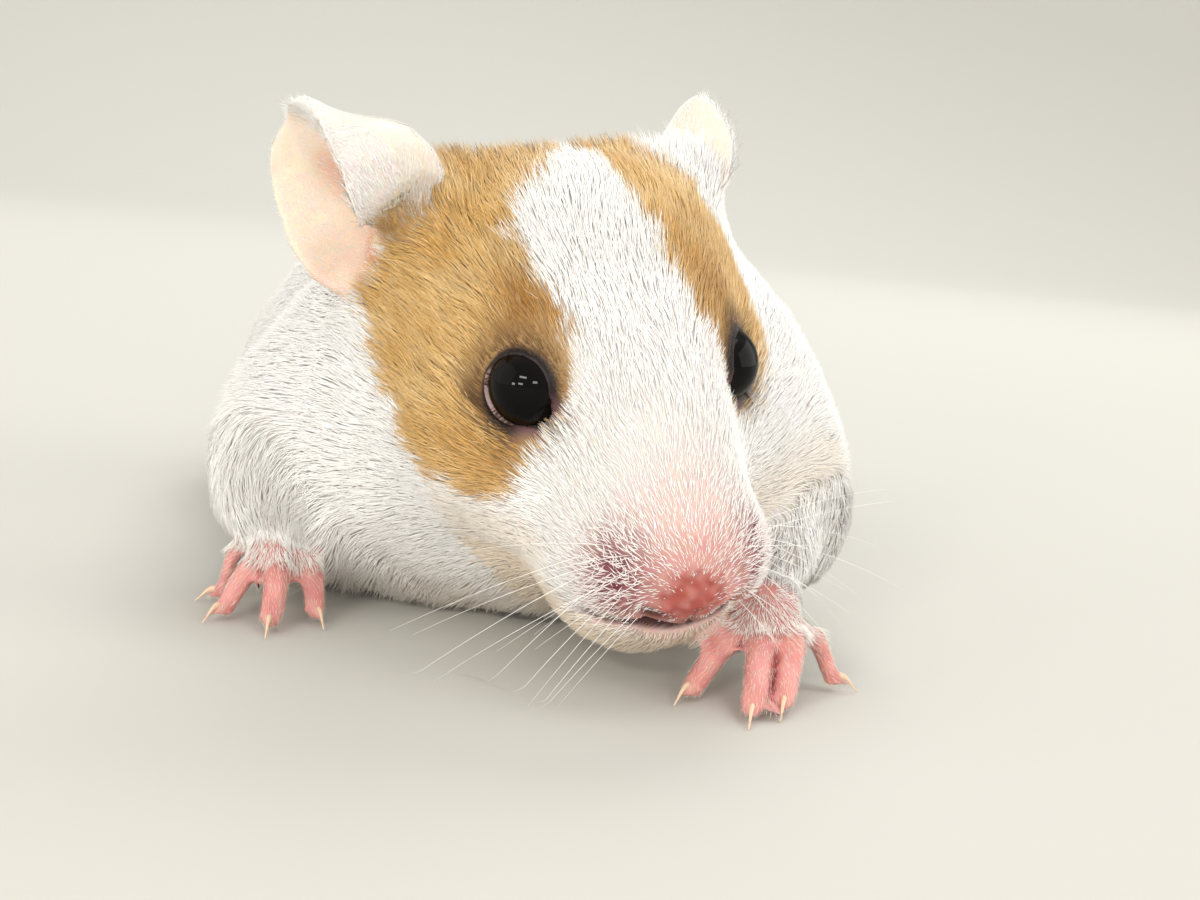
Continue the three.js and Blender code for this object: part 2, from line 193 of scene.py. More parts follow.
def linear(hexText):
    raw = [int(hexText[i : i + 2], 16) / 255 for i in (1, 3, 5)]
    return np.array([c / 12.92 if c <= 0.04045 else ((c + 0.055) / 1.055) ** 2.4 for c in raw])


# The flesh: every soft solid, swollen a little so that the thin cuts between them close.
skinSettings = {
    "swell": 0.17,  # mm
    "earSwell": 0.34,
    "earRoot": {"at": (-13.0, 10.9, 9.0), "radius": 1.7},  # closes the hollow under the folded flap
    # corners of a wedge that carries the flap's lower edge down to the head, in the head's frame
    "earWedge": [
        (-17.1, 8.9, 8.2), (-16.3, 8.5, 9.7), (-14.6, 9.3, 9.2), (-13.0, 10.3, 8.4), (-12.6, 11.2, 6.4),
        (-13.0, 11.6, 4.6), (-13.6, 12.5, 3.4), (-14.5, 13.4, 3.2), (-14.6, 13.2, 6.4), (-13.0, 13.0, 6.5),
    ],
    "voxel": 0.53,
    "thinnest": 0.45,  # what the coat's depth leaves of an ear
    "feet": [(-23.5, 9.5, 2.5), (12.5, -6.5, 2.5)],  # middles of the forefeet
    "fine": [{"eye": 5.2, "muzzle": 5.4, "foot": 6.5}, {"eye": 4.2, "muzzle": 3.4}],  # edges halved this near, mm
}
eyeNodes = ["eye_left", "eye_right"]
fleshNodes = sorted(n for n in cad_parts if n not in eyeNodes)


def mergedCopy(node):
    copy = bmesh.new()
    copy.from_mesh(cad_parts[node].data)
    bmesh.ops.scale(copy, vec=(1 / mm,) * 3, verts=copy.verts)
    bmesh.ops.remove_doubles(copy, verts=copy.verts, dist=0.002)
    copy.normal_update()
    return copy


def makeFlesh():
    whole = bmesh.new()
    for node in fleshNodes + eyeNodes:
        copy = mergedCopy(node)
        swell = skinSettings["earSwell" if node.startswith("ear") else "swell"]
        for v in copy.verts:
            v.co += v.normal * swell
        if node == "head":
            root = skinSettings["earRoot"]
            at = Matrix.Translation(Vector(fromHead(root["at"])))
            bmesh.ops.create_icosphere(copy, subdivisions=2, radius=root["radius"], matrix=at)
            corners = [copy.verts.new(Vector(fromHead(place))) for place in skinSettings["earWedge"]]
            hull = bmesh.ops.convex_hull(copy, input=corners)["geom"]
            bmesh.ops.recalc_face_normals(copy, faces=[g for g in hull if isinstance(g, bmesh.types.BMFace)])
        addInto(whole, copy)
    together = meshOf(whole, "skin")
    skin = addObject("skin", together)
    remesh = skin.modifiers.new("remesh", "REMESH")
    remesh.mode = "VOXEL"
    remesh.voxel_size = skinSettings["voxel"]
    bpy.context.view_layer.update()
    done = bpy.data.meshes.new_from_object(skin.evaluated_get(bpy.context.evaluated_depsgraph_get()))
    skin.modifiers.clear()
    skin.data = done
    bpy.data.meshes.remove(together)
    done.name = "skin"
    return skin


skin = makeFlesh()
print("flesh remeshed", len(skin.data.vertices), "points")

eyeSettings = {"at": (7.4, -1.3, 0.0), "radius": 3.0}
eyeCentres = {s: fromHead(sided(s, eyeSettings["at"])) for s in (1, -1)}


def refine():
    # Halves the edges round the eyes, nose and forefeet, and once more at the lids and nostrils.
    places = {
        "eye": [Vector(eyeCentres[s]) for s in (1, -1)],
        "muzzle": [Vector(fromHead((0, -15.0, -9.5)))],
        "foot": [Vector(np.array(place) + shift) for place in skinSettings["feet"]],
    }
    work = bmesh.new()
    work.from_mesh(skin.data)
    for reaches in skinSettings["fine"]:
        spots = [(spot, reach) for kind, reach in reaches.items() for spot in places[kind]]
        near = [e for e in work.edges if any((v.co - spot).length < reach for v in e.verts for spot, reach in spots)]
        bmesh.ops.subdivide_edges(work, edges=near, cuts=1, use_grid_fill=True)
        bmesh.ops.triangulate(work, faces=[f for f in work.faces if len(f.verts) > 4])
    work.to_mesh(skin.data)
    work.free()
    skin.data.update()


refine()


class Surface:
    # The skin's points with its neighbours, for smoothing and for reading normals.
    def __init__(self, obj):
        self.mesh = obj.data
        self.points = readAll(self.mesh.vertices, "co", 3)
        self.edges = readAll(self.mesh.edges, "vertices", 2, np.int64)
        self.valence = np.bincount(self.edges.ravel(), minlength=len(self.points))

    def average(self, values):
        flat = values.reshape(len(values), -1)
        out = np.zeros_like(flat)
        for k in range(flat.shape[1]):
            for here, there in (self.edges.T, self.edges.T[::-1]):
                out[:, k] += np.bincount(here, weights=flat[there, k], minlength=len(flat))
        return (out / np.maximum(self.valence, 1)[:, None]).reshape(values.shape)

    def spread(self, values, rounds):
        values = np.asarray(values, float)
        for _ in range(rounds):
            values = 0.5 * values + 0.5 * self.average(values)
        return values

    def relax(self, step):
        self.points += step * (self.average(self.points) - self.points)

    def normals(self):
        self.mesh.vertices.foreach_set("co", self.points.ravel())
        self.mesh.update()
        return readAll(self.mesh.vertex_normals, "vector", 3)


surface = Surface(skin)


def skinTree(points):
    return BVHTree.FromPolygons([Vector(p) for p in points], [list(f.vertices) for f in skin.data.polygons])


# Which solid each point of the skin came from.
labelNames = fleshNodes + eyeNodes


def nearestNodes(points):
    corners, faces, owners = [], [], []
    for i, name in enumerate(labelNames):
        copy = mergedCopy(name)
        start = len(corners)
        corners += [v.co.copy() for v in copy.verts]
        for f in copy.faces:
            faces.append([start + v.index for v in f.verts])
            owners.append(i)
        copy.free()
    tree = BVHTree.FromPolygons(corners, faces)
    return np.array([owners[tree.find_nearest(p)[2]] for p in points])


labels = nearestNodes(surface.points)


def isLabel(*starts):
    wanted = [i for i, name in enumerate(labelNames) if name.startswith(starts)]
    return np.isin(labels, wanted)


head = toHead(surface.points)
onHead = isLabel("head", "lower_jaw", "nose", "eye")
onEar = isLabel("ear")
onFoot = isLabel("forefoot", "hindfoot")
onTail = isLabel("tail")
onThin = onEar | onFoot | onTail
print("labels read")


# Smoothing away the facets: strong on the body, light on the face, hardly any on ears and toes.
smoothSettings = {"body": 1.0, "head": 0.5, "muzzle": 0.32, "step": 0.55, "rounds": 44, "thinSteps": [0.5, -0.52] * 9}


def smoothFlesh():
    fine = surface.spread(onThin, 2)[:, None]
    strength = np.where(onHead, smoothSettings["head"], smoothSettings["body"])
    strength = np.where(onHead & (head[:, 1] < -8), smoothSettings["muzzle"], strength)
    strength = surface.spread(strength, 6)[:, None] * (1 - fine)
    for _ in range(smoothSettings["rounds"]):
        surface.relax(smoothSettings["step"] * strength)
    for step in smoothSettings["thinSteps"]:  # thin parts keep their girth: each step in is followed by one out
        surface.relax(step * np.maximum(fine, 0.3))


smoothFlesh()
print("flesh smoothed")

# Toes, repeated from the solids: knuckle, heading, length, width in mm, before the shift.
middle = -3.6  # the body's own mid-plane
toes = {
    "forefoot_right": [
        ((-26.2, 11.8, 5.0), -88, 1.7, 0.95),
        ((-25.2, 9.2, 4.4), -46, 3.0, 1.1),
        ((-23.3, 8.2, 4.5), -7, 3.7, 1.15),
        ((-21.1, 9.4, 4.4), 20, 2.0, 1.1),
    ],
    "forefoot_left": [
        ((10.2, -3.4, 4.3), -47, 5.1, 1.15),
        ((11.75, -4.8, 4.6), -17, 6.1, 1.1),
        ((14.45, -4.3, 4.7), -20, 4.7, 1.15),
        ((15.2, -2.4, 4.5), 84, 3.1, 1.05),
    ],
}
for side, name in ((1, "hindfoot_left"), (-1, "hindfoot_right")):
    toes[name] = []
    for i, turn in zip(range(-2, 3), (-14, 1, 13, 26, 44)):
        knuckle = (middle + side * (20.6 + i * 1.25), 49.2 + abs(i) * 0.9, 1.6)
        toes[name].append((knuckle, side * turn, 4.4 - abs(i) * 0.5, 0.9))
allToes = sum(toes.values(), [])


def toeLine(toe):
    knuckle, heading, length, width = toe
    way = np.array([math.sin(math.radians(heading)), -math.cos(math.radians(heading)), 0.0])
    knuckle = np.array(knuckle) + shift
    tip = knuckle + way * length
    tip[2] = width * 0.82
    return knuckle, tip, way, width


def besideToe(points, toe, low, high):
    # How far along the toe each point is, held between low and high, and how it lies from there.
    knuckle, tip, _, _ = toeLine(toe)
    axis = tip - knuckle
    t = np.clip((points - knuckle) @ axis / (axis @ axis), low, high)
    return t, points - knuckle - t[:, None] * axis


# How the ears are held, as in the solids.
earPoses = {
    "left": {"root": np.array([12.0, 17.4, 2.2]), "up": [0.38, 0.82, 0.38], "open": [0.93, -0.3, 0.12]},
    "right": {"root": np.array([-13.5, 16.8, 4.0]), "up": [-0.43, 0.8, 0.42], "open": [-0.95, -0.22, 0.12]},
}


def earAxes(side):
    # up the ear, out of its cup, and towards its front edge
    up = unit(np.array(earPoses[side]["up"]))
    opening = np.array(earPoses[side]["open"])
    opening = unit(opening - (opening @ up) * up)
    rise = np.cross(up, opening) * (-1 if side == "left" else 1)
    return up, opening, rise


# How deep the coat is, and how its tufts are made, over the whole skin.
head = toHead(surface.points)
eyeNear = np.min([lengths(surface.points - eyeCentres[s]) for s in (1, -1)], axis=0)
nosePadAt = np.array([-0.5, -16.6, -8.5])
padDistance = lengths((head - nosePadAt) / [1.12, 1.0, 0.95])


def digitShare(points):
    # 1 on the toes, 0 on the furred palm and wrist
    share = np.zeros(len(points))
    for toe in allToes:
        knuckle, tip, _, width = toeLine(toe)
        t, away = besideToe(points, toe, -1, 1.6)
        beside = fall(lengths(away), width + 0.3, width + 1.1)
        share = np.maximum(share, ramp(t * np.linalg.norm(tip - knuckle), -0.3, 1.0) * beside)
    return share


def earPlaces(points):
    # How far up the front wall of its ear each point is, which way it faces (1 into the cup), how high it is.
    front, facing, high = (np.zeros(len(points)) for _ in range(3))
    for side, pose in earPoses.items():
        up, opening, rise = earAxes(side)
        here = isLabel("ear_" + side)
        front[here] = (points[here] - pose["root"]) @ rise
        high[here] = (points[here] - pose["root"]) @ up
        facing[here] = (normals[here] @ headAxes) @ opening
    return front, facing, high


def padShare(local):
    # The whisker pads, 1 at their middles.
    return blob(mirrored(local), (5.2, -13.9, -7.6), (2.2, 2.7, 3.5))


# depth under the outline, length and width in mm, and tufts to a square mm
coatKinds = {
    "trunk": (1.0, 4.2, 0.12, 15.0),
    "neck": (1.05, 4.0, 0.12, 15.0),
    "leg": (0.85, 3.2, 0.11, 15.0),
    "tail": (0.3, 0.9, 0.07, 9.0),
    "palm": (0.25, 1.6, 0.06, 42.0),
    "digit": (0.05, 0.8, 0.028, 11.0),
    "pad": (0.12, 1.15, 0.12, 12.0),
    "earRoot": (0.15, 2.0, 0.07, 30.0),
    "lid": (0.1, 0.75, 0.05, 26.0),
}


def coatMaps():
    # On the head all four follow the distance back; elsewhere each part has its kind.
    _, back, high = head.T
    low = fall(high, -12, -2)
    depth = np.interp(back, [-16, -11, -5, 4, 12, 18], [0.08, 0.18, 0.3, 0.5, 0.75, 0.9])
    depth = depth + 0.3 * low * ramp(back, -6, 6)
    length = np.interp(back, [-17, -13, -8, -2, 6, 14], [0.6, 1.0, 1.7, 2.2, 2.7, 3.4])
    width = np.interp(back, [-16, -10, 0, 12], [0.055, 0.075, 0.095, 0.11])
    density = np.interp(back, [-17, -13, -8, 0, 8, 16], [16, 20, 22, 22, 20, 17])
    maps = np.stack([depth, length, width, density], axis=1)
    jaw = isLabel("lower_jaw")
    maps[jaw, 1] += 0.8
    maps[jaw, 2:] = [0.09, 15.0]
    maps = mix(maps, coatKinds["pad"], padShare(head))
    maps[~onHead] = coatKinds["trunk"]
    maps[isLabel("neck")] = coatKinds["neck"]
    leg = isLabel("foreleg", "hindleg")
    maps[leg] = coatKinds["leg"]
    maps[leg, 0] = np.interp(surface.points[leg, 2], [5, 14], [0.35, 0.85])
    furry, outside = earFlap[:, None], ramp(-earFacing, 0.1, 0.5)[:, None]
    ear = furry * [0.12, 0.85, 0.025, 12] + [0.05, 0.45, 0.035, 14] + outside * [0.02, 0.1, 0.01, 8]
    maps[onEar] = ear[onEar]
    maps[onFoot] = mix(coatKinds["palm"], coatKinds["digit"], onDigit)[onFoot]
    maps[onTail] = coatKinds["tail"]
    maps = mix(maps, coatKinds["earRoot"], blob(head, (-14.0, 10.6, 8.0), 3.0))
    maps = surface.spread(maps, 8)
    return mix(coatKinds["lid"], maps, ramp(eyeNear, 3.2, 6.6))


normals = surface.normals()
earFront, earFacing, earHigh = earPlaces(head)
earFlap = ramp(earFront, 0.5, 2.5) * ramp(earFacing, -0.2, 0.3)
onDigit = digitShare(surface.points) * onFoot
coatMap = coatMaps()
normals = surface.normals()
farThrough = 6.0  # mm, as far as a ray looks for the flesh's other side


def thickness():
    # How far it is through the flesh to its other side, in mm.
    tree = skinTree(surface.points)
    hits = [tree.ray_cast(Vector(p - 0.02 * n), Vector(-n), farThrough)[3] for p, n in zip(surface.points, normals)]
    return np.array([farThrough if hit is None else hit for hit in hits])


swell = np.where(onEar, skinSettings["earSwell"], skinSettings["swell"])
spare = 0.5 * (thickness() - skinSettings["thinnest"]) - swell
coatMap[:, 0] = surface.spread(np.minimum(coatMap[:, 0], np.maximum(spare, 0.0)), 2)
surface.points -= normals * (swell[:, None] + coatMap[:, :1])
surface.relax(0.25)
# Where the folded flap meets the head, the skin is smoothed once more.
earJoin = blob(head, (-14.2, 10.9, 7.2), 2.9)
joinStep = 0.6 * (earJoin * (earJoin > 0.4))[:, None]
for _ in range(26):
    surface.relax(joinStep)

# The face's own folds.
lidSettings = {
    "gaze": (0.77, -0.58, 0.28),  # the way the lids open, for the left eye
    "forward": (0.30, -0.82, -0.48),  # towards the front corner
    # degrees from the gaze to the lids' edge, against degrees round from forward, the upper lid positive
    "round": (-180, -166, -138, -108, -73, -39, -11, 3, 14, 26, 45, 68, 110, 149, 180),
    "open": (55, 56, 60, 58, 58, 62, 60, 67, 82, 76, 63, 54.5, 54.5, 53.7, 55),
    "edge": 3.0,  # degrees
    "lift": 0.1,  # mm, the lid's thickness on the eyeball
    "rearLift": 0.17,  # more of it behind the eye, where the lid stands off the ball
    "cornerLift": 0.5,  # and at the front corner, beyond the ball's edge
    "reach": 6.0,  # mm from the ball's middle that the lids take in
    "sunk": 0.8,  # mm the skin lies under the open part of the ball
}


def eyeFrame(s):
    gaze = unit(sided(s, lidSettings["gaze"]))
    forward = sided(s, lidSettings["forward"])
    forward = unit(forward - gaze * np.dot(gaze, forward))
    return gaze, forward, -s * np.cross(gaze, forward)


lidEdge = np.full(len(surface.points), 99.0)  # degrees outside the lids' edge
lidRear = np.zeros(len(surface.points))
lidCorner = np.zeros(len(surface.points))


def openLids(s):
    local = toHead(surface.points) - toHead(eyeCentres[s])
    gaze, forward, across = eyeFrame(s)
    reach = lengths(local)
    near = reach < lidSettings["reach"]
    way = unit(local)
    off = np.degrees(np.arccos(np.clip(way @ gaze, -1, 1)))
    turn = np.degrees(np.arctan2(way @ across, way @ forward))
    limit = np.interp(turn, lidSettings["round"], lidSettings["open"])
    rear = ramp(turn, -150, -120) * fall(turn, -60, -25)
    beyond = off - limit
    edge = lidSettings["edge"]
    radius = eyeSettings["radius"]
    corner = np.exp(-(((turn - 14) / 10) ** 2))
    lift = lidSettings["lift"] + lidSettings["rearLift"] * rear + lidSettings["cornerLift"] * corner
    inside = near & (beyond < -edge)
    rim = near & (np.abs(beyond) <= edge)
    lid = near & (beyond > edge) & (beyond < 50)
    place = reach.copy()
    place[inside] = radius - lidSettings["sunk"]
    place[rim] = radius + np.where(beyond < 0, -0.12, lift)[rim]
    shell = radius + lift[lid] + 0.008 * (beyond[lid] - edge)
    leave = ramp(beyond[lid], edge, 30)
    place[lid] = np.maximum(shell * (1 - leave) + reach[lid] * leave, shell)
    angle = np.where(rim, limit, off)
    flat = unit(way - (way @ gaze)[:, None] * gaze)
    turned = np.cos(np.radians(angle))[:, None] * gaze + np.sin(np.radians(angle))[:, None] * flat
    changed = inside | rim | lid
    surface.points[changed] = fromHead(toHead(eyeCentres[s]) + turned[changed] * place[changed, None])
    lidEdge[near] = np.minimum(lidEdge[near], beyond[near])
    lidRear[near] = rear[near]
    lidCorner[near] = (ramp(turn, -45, -10) * fall(turn, 40, 75))[near]


for s in (1, -1):
    openLids(s)

faceFolds = {
    "nostril": {"at": (2.75, -16.2, -10.1), "size": (1.1, 1.2, 0.7), "depth": 0.9, "slant": 0.5},
    "philtrum": {"width": 0.28, "depth": 0.45, "from": -9.8, "to": -12.0},
    "mouth": {"height": 0.6, "depth": 1.6, "at": -12.3, "rise": 0.09, "turn": 3.4, "fall": 0.5},
    "wing": {"above": 0.95, "size": (1.0, 0.9, 0.42), "rise": 0.28},
    "pads": {"at": (4.9, -13.6, -7.6), "size": (2.3, 2.4, 2.4), "rise": 0.35},
}


def foldFace():
    local = toHead(surface.points)
    x, y, z = local.T
    push = np.zeros_like(local)
    onFace = surface.spread(onHead, 3)
    front = (y < -13) * onFace
    nostril, groove, mouth, wing, pads = faceFolds.values()
    dark = np.zeros(len(local))
    for s in (1, -1):
        away = local - sided(s, nostril["at"])
        away[:, 2] -= nostril["slant"] * s * away[:, 0]
        hole = blob(away, (0, 0, 0), nostril["size"]) * front
        push[:, 1] += nostril["depth"] * hole
        dark = np.maximum(dark, hole)
        push[:, 1] -= wing["rise"] * blob(away, (0, 0, wing["above"]), wing["size"]) * front
        bulge = blob(local, sided(s, pads["at"]), pads["size"])
        push += unit(local - [0, -9, -8]) * (pads["rise"] * bulge * onFace)[:, None]
    deep = np.exp(-((x / groove["width"]) ** 2)) * front
    deep *= fall(z, groove["from"], groove["from"] + 0.8) * ramp(z, groove["to"] - 0.6, groove["to"])
    push[:, 1] += groove["depth"] * deep
    aside = np.abs(x)
    line = mouth["at"] + mouth["rise"] * np.minimum(aside, mouth["turn"]) ** 2
    line -= mouth["fall"] * np.maximum(aside - mouth["turn"], 0)
    above = (z - line) / mouth["height"]
    reach = fall(y, -12.6, -10.6) * onFace
    gap = np.exp(-(above**2)) * reach
    lip = np.exp(-((above / 2.2 - 0.6) ** 2)) * reach
    inwards = unit(np.array([0.0, -8.0, -10.5]) - local)
    push += inwards * (mouth["depth"] * gap)[:, None]
    folds = 0.07 * ripple(local, 1.3, 2.2) + 0.04 * ripple(local, 0.6, 7.7)
    onPad = fall(lengths((local - nosePadAt) / [1.0, 1.0, 0.85]), 1.8, 3.0)
    push[:, 1] -= folds * onPad
    surface.points = fromHead(local + push)
    return gap, lip, dark * onFace


mouthGap, lipShare, nostrilDark = foldFace()
normals = surface.normals()
head = toHead(surface.points)
print("face folded")

# The claws' roots.
def hideClawRoots():
    # What is left of the claws in the skin draws in, so that the horn pieces cover it.
    for toe in allToes:
        _, tip, way, width = toeLine(toe)
        start = tip + way * width * 0.55
        away = surface.points - start
        along = away @ way
        line = start + np.clip(along, 0, 3.0)[:, None] * way
        line[:, 2] = np.interp(along, [0, 2.2], [tip[2] * 0.9, 0.3])
        off = surface.points - line
        near = (along > 0) & (along < 3.2) & (lengths(off) < 1.2)
        keep = 1 - 0.85 * ramp(along, 0, 0.5)
        surface.points[near] = line[near] + off[near] * keep[near, None]


toeGroove = {"depth": 1.7, "width": 0.42, "sole": 0.3}  # mm; the sole stays at least this thick


def partToes():
    # A groove between neighbouring toes, where the skin has bridged them.
    crease = np.zeros(len(surface.points))
    for name, group in toes.items():
        away = []
        for toe in group:
            t, off = besideToe(surface.points, toe, 0, 1.2)
            away.append(lengths(off[:, :2]) + 9 * (t <= 0.12))
        away = np.sort(np.stack(away), axis=0)
        between = np.exp(-(((away[1] - away[0]) / toeGroove["width"]) ** 2)) * fall(away[0], 1.6, 2.4)
        crease = np.maximum(crease, between * isLabel(name))
    crease = surface.spread(crease * ramp(surface.normals()[:, 2], 0.0, 0.4), 1)
    tree = skinTree(surface.points)
    drop = toeGroove["depth"] * crease
    for i in np.flatnonzero(crease > 0.005):
        inside = Vector(surface.points[i] - [0, 0, 0.03])
        room = tree.ray_cast(inside, Vector((0, 0, -1)), farThrough)[3] or farThrough
        drop[i] = min(drop[i], max(room - toeGroove["sole"], 0.0))
    surface.points[:, 2] -= np.minimum(drop, surface.spread(drop, 1))
    return crease


hideClawRoots()
toeCrease = partToes()
surface.points[:, 2] = np.maximum(surface.points[:, 2], 0.02)
normals = surface.normals()

# Markings, with shade painted in places: the same function colours skin and coat.
# Some tones paint shade: the warm tint on the coat's lower parts, the ear's fold tone, the toe-gap tone, and the lip,
# nostril and deep foot tones in the mouth, nostrils and toe creases.
toneCodes = {
    "white": "#FBF9F6", "warmShade": "#F2DDC0", "padHair": "#F3E1DD", "gold": "#D6A75E",
    "goldLight": "#ECCC95", "goldDeep": "#9E6A28", "dusky": "#8A6636", "underWhite": "#F6ECE6",
    "underGold": "#C49A66", "blush": "#EECBC2", "muzzle": "#DCA39A", "whiskerPad": "#7C3644",
    "nose": "#AE544B", "nostril": "#5E2622", "lip": "#4E211F", "ear": "#F9E8D2",
    "earFoldShade": "#DB9F84", "foot": "#E8A29A", "footDeep": "#CC7571", "toeGapShade": "#9C3A3C",
    "lash": "#4A2E18", "lid": "#1C110D", "lidCorner": "#7E5A5E", "lidPale": "#C9A9A6",
    "pupil": "#030202", "iris": "#0E0705",
}
tones = {name: linear(code) for name, code in toneCodes.items()}
# Edges of the patches: angle round the head's long axis against the distance back, in degrees and mm.
patchEdges = {
    "right": {
        "back": (-6.0, -5.0, -3.6, -1.7, 0.9, 4.7, 6.5, 8.8, 13.0, 20.0),
        "inner": (40, 33, 27, 24, 24, 24, 22, 12, 4, 3),
        "outerBack": (-6.0, -4.7, -2.7, 0.4, 4.4, 8.7, 12.2, 14.6, 20.0),
        "outer": (88, 95, 97, 95, 88, 81, 75, 67, 40),
        "front": -5.0,
        "rear": 18.5,
    },
    "left": {
        "back": (-6.0, -3.6, -2.5, -1.4, 0.2, 1.6, 3.2, 5.3, 8.7, 13.0, 20.0),
        "inner": (40, 30, 21, 18, 16, 13, 10, 8, 7, 4, 3),
        "outerBack": (-6.0, -3.0, -1.0, 2.0, 5.0, 7.0, 8.3, 11.4, 20.0),
        "outer": (66, 72, 73, 70, 58, 45, 33, 24, 20),
        "front": -4.4,
        "rear": 18.0,
    },
}


def patchShare(local):
    x, back, z = local.T
    angle = np.degrees(np.arctan2(x, z + 7.0))
    wobble = 2.5 * ripple(local, 3.1, 0.9) + 1.8 * ripple(local, 1.3, 2.4)
    share = np.zeros(len(local))
    for side, sign in (("left", 1), ("right", -1)):
        edges = patchEdges[side]
        a = angle * sign + wobble
        inner = np.interp(back, edges["back"], edges["inner"])
        outer = np.interp(back, edges["outerBack"], edges["outer"])
        inside = ramp(a, inner - 5, inner + 4) * fall(a, outer - 9, outer + 5)
        inside *= ramp(back + 0.12 * wobble, edges["front"] - 0.7, edges["front"] + 0.7)
        inside *= fall(back + 0.3 * wobble, edges["rear"] - 1.5, edges["rear"] + 1.5)
        share = np.maximum(share, inside)
    return share


def duskShare(local):
    # How dusky the gold is: at the crown's edge and round the eyes.
    crown = ramp(local[:, 1] + ripple(local, 2.5, 1.3), 12.8, 15.0)
    spots = fall(lengths(mirrored(local) - eyeSettings["at"]), 3.2, 5.0)
    return np.clip(0.85 * crown + 0.75 * spots, 0, 1)


def deepShare(local):
    # A deeper gold over the eyes and in the patches' lower ends.
    half = mirrored(local)
    over = np.maximum(blob(half, (6.6, 0.2, 4.4), (3.0, 5.0, 3.4)), 0.55 * blob(half, (9.0, -3.6, -5.2), 3.0))
    return np.clip(0.85 * over + 0.22 * ripple(local, 5.0, 8.1), 0, 1)


def underNose(local):
    # The bare skin between the nostrils and the mouth, which is painted dark: partly its own dark skin, partly
    # painted shade under the nose.
    x, y, z = local.T
    share = np.exp(-((x / 2.1) ** 2)) * (y < -12) * surface.spread(onHead, 3)
    return share * fall(z, -11.1, -10.1) * ramp(z, -12.9, -12.2)


def skinColour(local):
    _, y, z = local.T
    soft, ear, foot = (surface.spread(here, 3) for here in (~onThin, onEar, onFoot | onTail))
    gold = patchShare(local) * np.maximum(soft, earJoin)
    front = ramp(0.4 * ripple(local, 1.6, 5.5) - y, 13.6, 15.8) * ramp(z, -12.5, -10.5)
    padTone = mix("nose", "muzzle", np.clip(0.12 + 0.25 * ripple(local, 1.1, 1.2), 0, 0.35))
    # Painted shade: the ear is painted a deeper pink in the fold of its front wall and low in its cup, where shade
    # falls.
    fold = np.exp(-(((earFront + 0.3) / 1.7) ** 2)) * fall(earHigh, 5.5, 10.5) + 0.4 * fall(earHigh, 1.0, 5.0)
    fold *= ramp(earFacing, 0, 0.4) * (1 + 0.25 * ripple(local, 3.0, 3.3))
    earTone = mix(mix("ear", "earFoldShade", np.clip(fold, 0, 1)), "underWhite", 0.8 * earFlap)
    # Painted shade: the feet are darker in random patches and more so in the creases between the toes, which also
    # take a deep red where shade falls.
    footTone = mix("foot", "footDeep", np.clip(0.25 + 0.4 * ripple(surface.points, 2.0, 6.1) + toeCrease, 0, 1))
    footTone = mix(footTone, "toeGapShade", 0.85 * ramp(toeCrease, 0.15, 0.6))
    lidTone = mix("lid", "lidCorner", lidCorner * ramp(lidEdge, 0.0, 4.0))
    layers = [
        ("underGold", gold),
        ("dusky", gold * duskShare(local) * 0.8),
        ("blush", fall(y, -14.0, -10.0) * soft),
        ("muzzle", front * soft),
        ("whiskerPad", np.clip(padShare(local) * (1.15 + 0.4 * ripple(local, 1.0, 2.9)), 0, 1)),
        (padTone, fall(padDistance + 0.35 * ripple(local, 1.1, 4.0), 1.7, 3.0)),
        (earTone, ear * (1 - 0.7 * earJoin)),
        (footTone, foot),
        (lidTone, fall(lidEdge, 8.0, 16.0)),
        ("lidPale", 0.65 * lidRear * ramp(lidEdge, -3.6, -2.4) * fall(lidEdge, 0.8, 2.2)),
        # Painted shade: the lip tone darkens the skin under the nose and fills the mouth's groove, partly the lip's
        # own dark skin and partly the shade in the groove.
        ("lip", 0.6 * underNose(local)),
        ("lip", ramp(mouthGap, 0.05, 0.3)),
        # Painted shade: the nostrils' hollows are painted dark.
        ("nostril", 0.9 * ramp(nostrilDark, 0.1, 0.8)),
    ]
    colour = tones["underWhite"]
    for tone, share in layers:
        colour = mix(colour, tone, share)
    return colour


headSoft = 1 - np.clip(surface.spread(onThin, 2), 0, 1)
skinTones = skinColour(head)
goldShare = patchShare(head) * np.maximum(headSoft, earJoin)
print("markings worked out")


# The skin's own unwrap, which every tuft's patch follows.
def unwrapSkin():
    surface.normals()
    bpy.context.view_layer.objects.active = skin
    skin.select_set(True)
    skin.data.uv_layers.new(name="OFBake")
    bpy.ops.object.mode_set(mode="EDIT")
    bpy.ops.mesh.select_all(action="SELECT")
    bpy.ops.uv.smart_project(angle_limit=math.radians(66), island_margin=0.002)
    bpy.ops.object.mode_set(mode="OBJECT")
    skin.select_set(False)


unwrapSkin()
print("skin unwrapped")


def paint(mesh, name, colours):
    layer = mesh.color_attributes.new(name, "FLOAT_COLOR", "POINT")
    full = np.ones((len(colours), 4), np.float32)
    full[:, :3] = np.clip(colours, 0, 1)
    layer.data.foreach_set("color", full.ravel())


paint(skin.data, "skinTone", skinTones)


